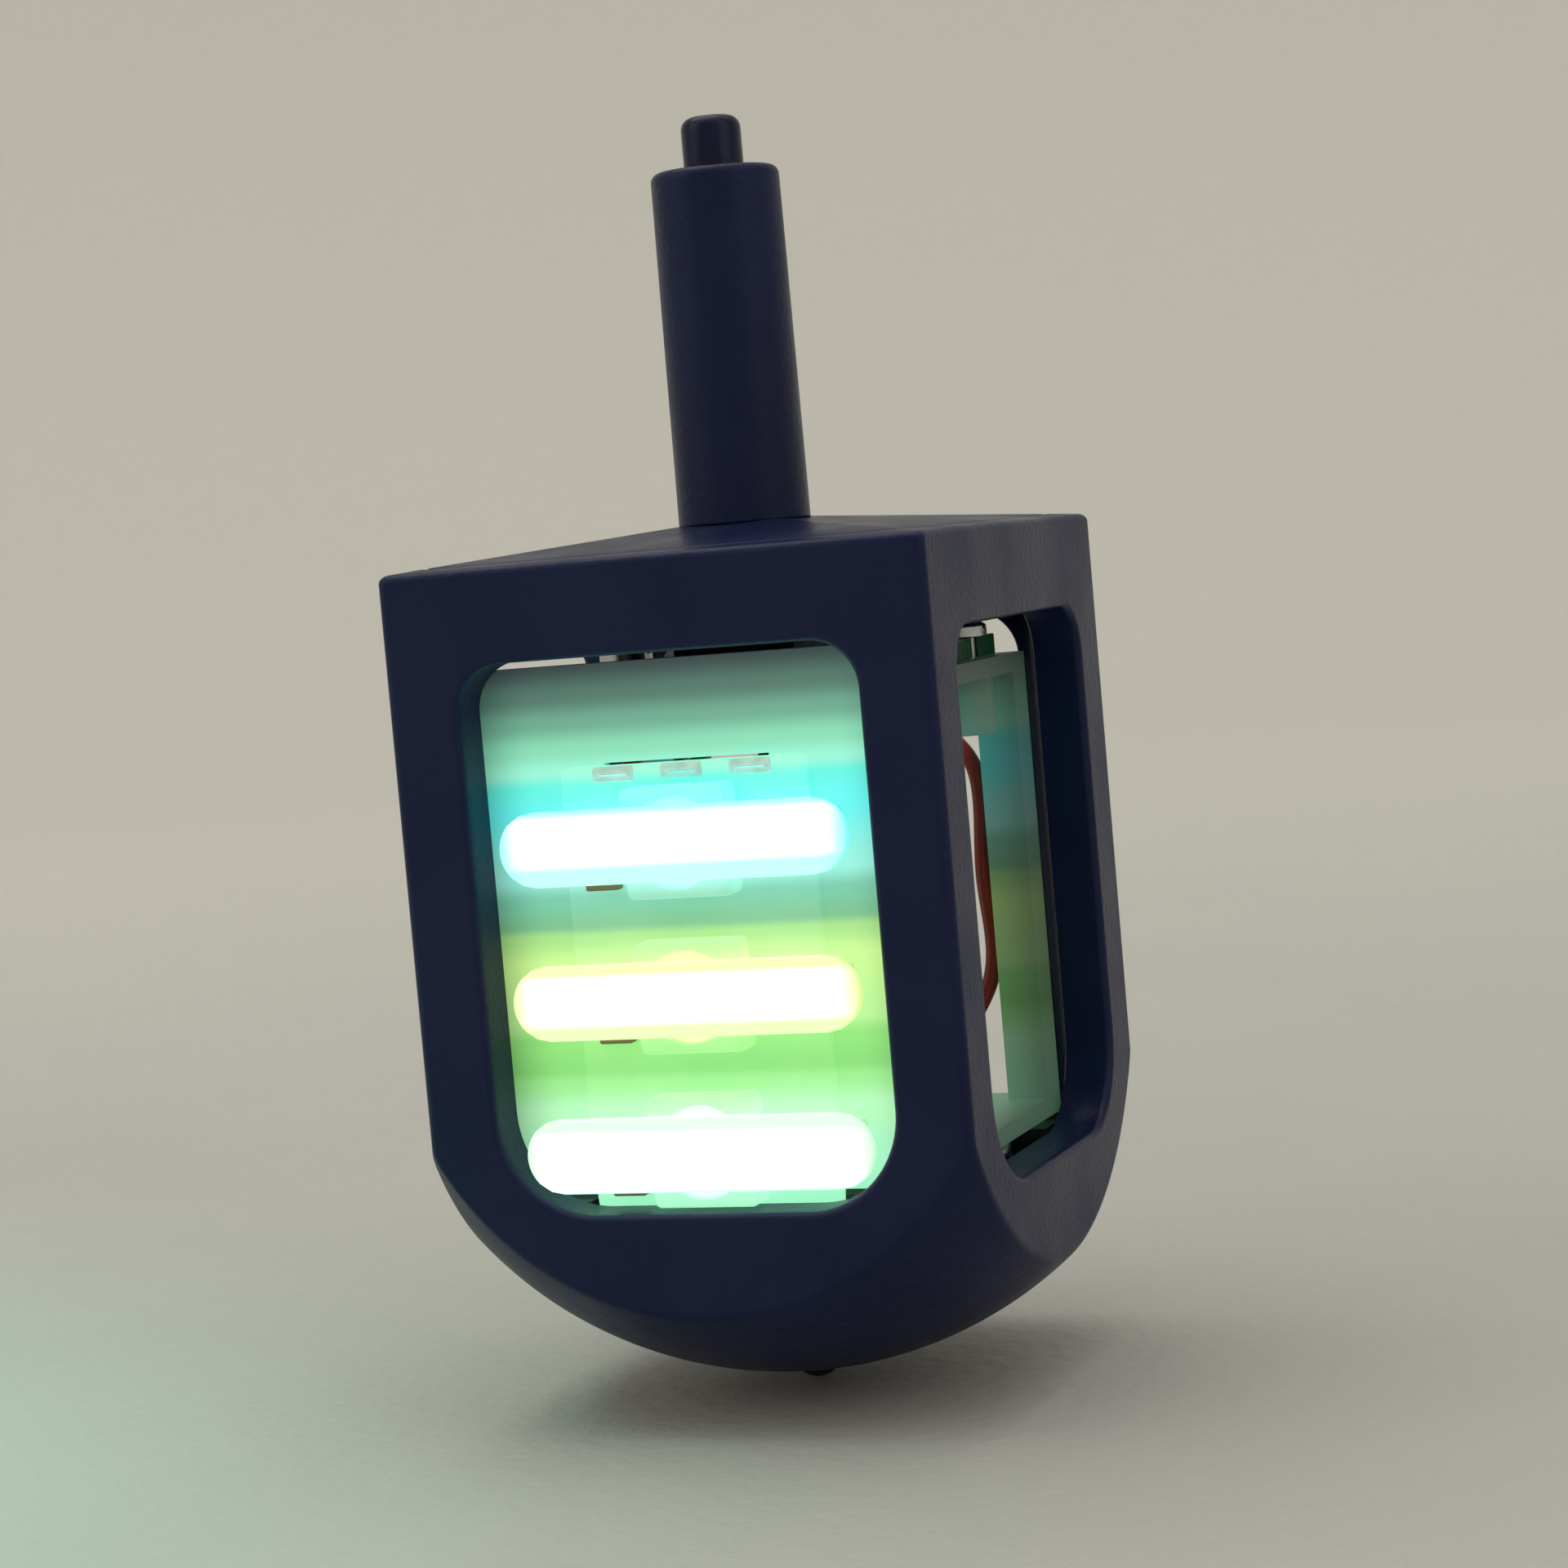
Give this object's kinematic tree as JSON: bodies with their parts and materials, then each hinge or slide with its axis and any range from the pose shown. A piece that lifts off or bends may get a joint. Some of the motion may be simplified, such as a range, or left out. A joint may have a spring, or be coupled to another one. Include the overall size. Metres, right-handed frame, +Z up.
{
  "type": "light up spinning top",
  "caption": "Square four-sided spinning top with a windowed dark shell, a spherical base, a round finger stem with a push pin, and a column of bright lights inside.",
  "frame": {"origin": "the lowest point of the tip, on the axis the top spins about", "axes": "+Z up the spin axis to the push pin, -Y out of the lit window, +X to the right of it"},
  "size_m": [0.026, 0.026, 0.0597],
  "materials": {
    "navy_plastic": "satin moulded",
    "black_plastic": "satin moulded",
    "white_plastic": "satin, slightly translucent",
    "led_white": "smooth",
    "strip_film": "white solder mask on a flexible film",
    "light_cyan": "milky, lit cyan",
    "light_lime": "milky, lit yellow-green",
    "light_mint": "milky, lit cyan-green",
    "circuit_board": "green solder mask",
    "chip_plastic": "moulded epoxy",
    "capacitor_ceramic": "fired ceramic",
    "red_wire": "soft insulation",
    "green_wire": "soft insulation",
    "black_wire": "soft insulation",
    "spring_steel": "bright drawn wire",
    "screw_steel": "zinc plated",
    "cell_steel": "nickel plated, brushed",
    "contact_nickel": "nickel plated",
    "solder": "tinned"
  },
  "bodies": {
    "housing": {"body_shell": "navy_plastic", "pivot_tip": "black_plastic", "battery_holder": "black_plastic", "coin_cell": "cell_steel", "cell_contact_negative": "contact_nickel", "cell_contact_positive": "contact_nickel", "light_carrier": "white_plastic", "led_strip": "strip_film", "controller_board": "circuit_board", "controller_chip": "chip_plastic", "board_capacitor": "capacitor_ceramic", "board_resistor": "chip_plastic", "board_diode": "chip_plastic", "board_screw_left": "screw_steel", "board_screw_right": "screw_steel", "switch_body": "chip_plastic", "strip_pad_power": "solder", "strip_pad_data": "solder", "strip_pad_ground": "solder", "strip_wire_power": "red_wire", "strip_wire_data": "green_wire", "strip_wire_ground": "black_wire", "battery_wire_positive": "red_wire", "battery_wire_negative": "black_wire", "led_housing_top": "led_white", "led_lens_top": "light_cyan", "light_bar_top": "light_cyan", "strip_capacitor_top": "capacitor_ceramic", "led_housing_middle": "led_white", "led_lens_middle": "light_lime", "light_bar_middle": "light_lime", "strip_capacitor_middle": "capacitor_ceramic", "led_housing_bottom": "led_white", "led_lens_bottom": "light_mint", "light_bar_bottom": "light_mint", "strip_capacitor_bottom": "capacitor_ceramic"},
    "cover": {"top_cover": "navy_plastic", "stem": "navy_plastic", "stem_bush": "black_plastic", "button_spring": "spring_steel"},
    "button": {"button_pin": "navy_plastic"},
    "switch_button": {"switch_plunger": "white_plastic"}
  },
  "joints": [
    {"name": "cover_lift", "type": "slide", "parent": "housing", "child": "cover", "axis": [0, 0, 1], "range_m": [0, 0.006]},
    {"name": "button_press", "type": "slide", "parent": "cover", "child": "button", "axis": [0, 0, -1], "range_m": [0, 0.001], "stiffness_N_per_m": 300, "springref_m": -0.0005, "deforming": ["button_spring"]},
    {"name": "switch_press", "type": "slide", "parent": "housing", "child": "switch_button", "axis": [0, 0, -1], "range_m": [0, 0.001], "stiffness_N_per_m": 100, "springref_m": -0.0005}
  ],
  "couplings": [
    {"joint": "switch_press", "follows": "button_press", "ratio": 1}
  ]
}
